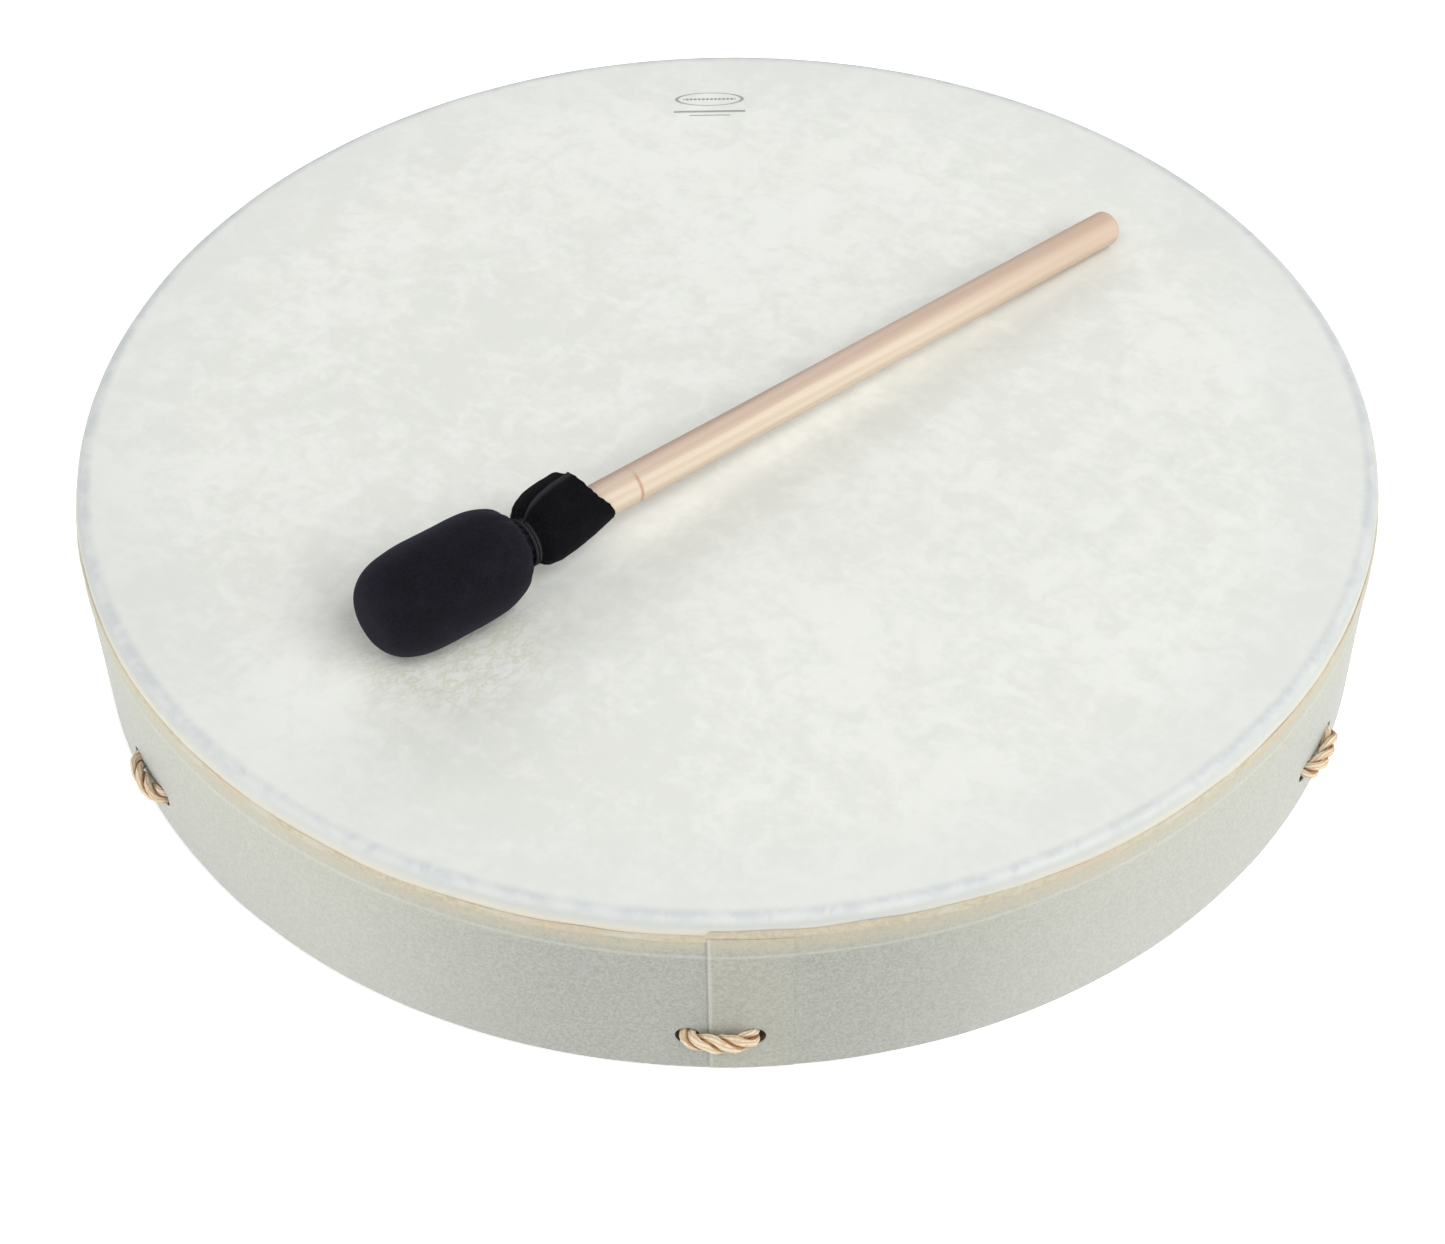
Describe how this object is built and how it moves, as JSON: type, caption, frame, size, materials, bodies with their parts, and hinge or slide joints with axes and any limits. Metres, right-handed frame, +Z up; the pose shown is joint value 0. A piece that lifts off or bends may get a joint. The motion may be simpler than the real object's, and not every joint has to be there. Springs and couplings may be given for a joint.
{
  "type": "frame drum",
  "caption": "Round single-headed frame drum with a film head glued over a bent hoop, a rope handle laced through the rim and a cloth-headed mallet.",
  "frame": {"origin": "centre of the hoop's lower edge, on the surface that the drum stands on", "axes": "+Z up through the head, -Y towards the side film's lapped seam and one rope stitch"},
  "size_m": [0.5588, 0.5764, 0.1344],
  "materials": {
    "hoop": "matt pressed and laminated wood fibre",
    "head_film": "satin synthetic film with cloudy fibres",
    "bond": "satin dried adhesive",
    "side_film": "satin printed film, mottled grey-green",
    "rope": "three-strand twisted rope",
    "twine": "waxed twine",
    "stick": "sanded, unvarnished hardwood",
    "core": "dense felted padding",
    "cover": "matt black woven cloth",
    "binding": "thin waxed cord with a slight shine"
  },
  "bodies": {
    "drum": {"shell_hoop": "hoop", "drumhead": "head_film", "head_bond_bead": "bond", "side_wrap": "side_film", "handle_rope_1": "rope", "handle_rope_2": "rope", "handle_rope_3": "rope", "rope_lashing_1": "twine", "rope_lashing_2": "twine", "rope_lashing_3": "twine", "rope_lashing_4": "twine", "rope_lashing_5": "twine", "rope_lashing_6": "twine"},
    "mallet": {"mallet_stick": "stick", "mallet_core": "core", "mallet_cover": "cover", "mallet_binding": "binding"}
  },
  "joints": [
    {"name": "mallet_lift", "type": "slide", "parent": "drum", "child": "mallet", "axis": [0, 0, 1], "range_m": [0, 0.25]}
  ]
}
